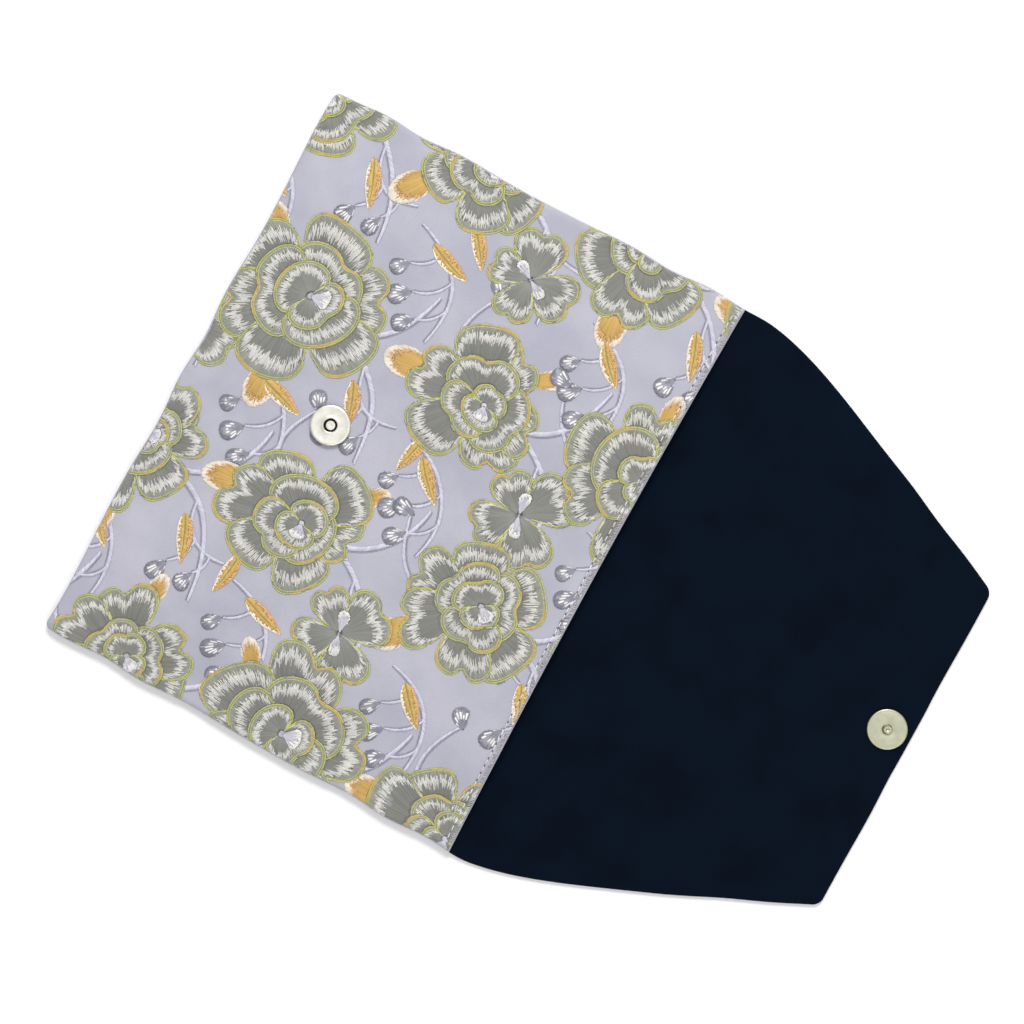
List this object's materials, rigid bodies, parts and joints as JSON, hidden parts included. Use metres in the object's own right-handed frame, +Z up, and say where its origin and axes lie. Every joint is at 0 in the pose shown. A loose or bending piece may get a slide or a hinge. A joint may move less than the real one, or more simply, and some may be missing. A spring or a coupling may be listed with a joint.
{
  "type": "soft envelope pouch",
  "caption": "Flat padded cloth pouch for glasses, embroidered outside and lined, with a fold-over flap that closes on a magnetic snap.",
  "frame": {"origin": "the middle of the open pouch's footprint, on the surface that it lies on", "axes": "+Y from the pouch's bottom edge towards the flap's tip, +Z up from the surface, +X across the width"},
  "size_m": [0.272, 0.358, 0.0121],
  "materials": {
    "embroidered_cloth": "lavender-grey satin ground with grey, ivory, olive and gold thread embroidery",
    "fleece": "white needled fleece, hidden",
    "navy_lining": "very dark navy plain-weave cotton, matt",
    "turned_cloth": "the outer cloth's wrong side, hidden",
    "thread": "pale polyester sewing thread",
    "nickel_plate": "pale satin nickel plate, slightly warm",
    "steel": "thin stamped steel, hidden",
    "magnet": "dark grey sintered ferrite"
  },
  "bodies": {
    "pouch": {"back_outer": "embroidered_cloth", "back_interlining": "fleece", "back_lining": "navy_lining", "front_outer": "embroidered_cloth", "front_interlining": "fleece", "front_lining": "navy_lining", "left_seam_allowance": "turned_cloth", "right_seam_allowance": "turned_cloth", "bottom_seam_allowance": "turned_cloth", "mouth_turned_edge": "turned_cloth", "mouth_topstitch": "thread", "socket_cap": "nickel_plate", "socket_magnet": "magnet", "socket_rivet": "nickel_plate", "socket_prong_plate": "steel", "socket_washer": "steel"},
    "spine": {"spine_outer": "embroidered_cloth", "spine_interlining": "fleece", "spine_lining": "navy_lining"},
    "flap": {"flap_outer": "embroidered_cloth", "flap_interlining": "fleece", "flap_lining": "navy_lining", "flap_turned_edge": "turned_cloth", "stud_plate": "nickel_plate", "stud_post": "nickel_plate", "stud_prong_plate": "steel", "stud_washer": "steel"}
  },
  "joints": [
    {"name": "spine_fold", "type": "hinge", "parent": "pouch", "child": "spine", "pos_m": [0, 0.025, 0.0029], "axis": [1, 0, 0], "range_deg": [0, 90]},
    {"name": "flap_fold", "type": "hinge", "parent": "spine", "child": "flap", "pos_m": [0, 0.032, 0.0029], "axis": [1, 0, 0], "range_deg": [0, 88.4]}
  ],
  "couplings": [
    {"joint": "flap_fold", "follows": "spine_fold", "ratio": 0.9822}
  ]
}
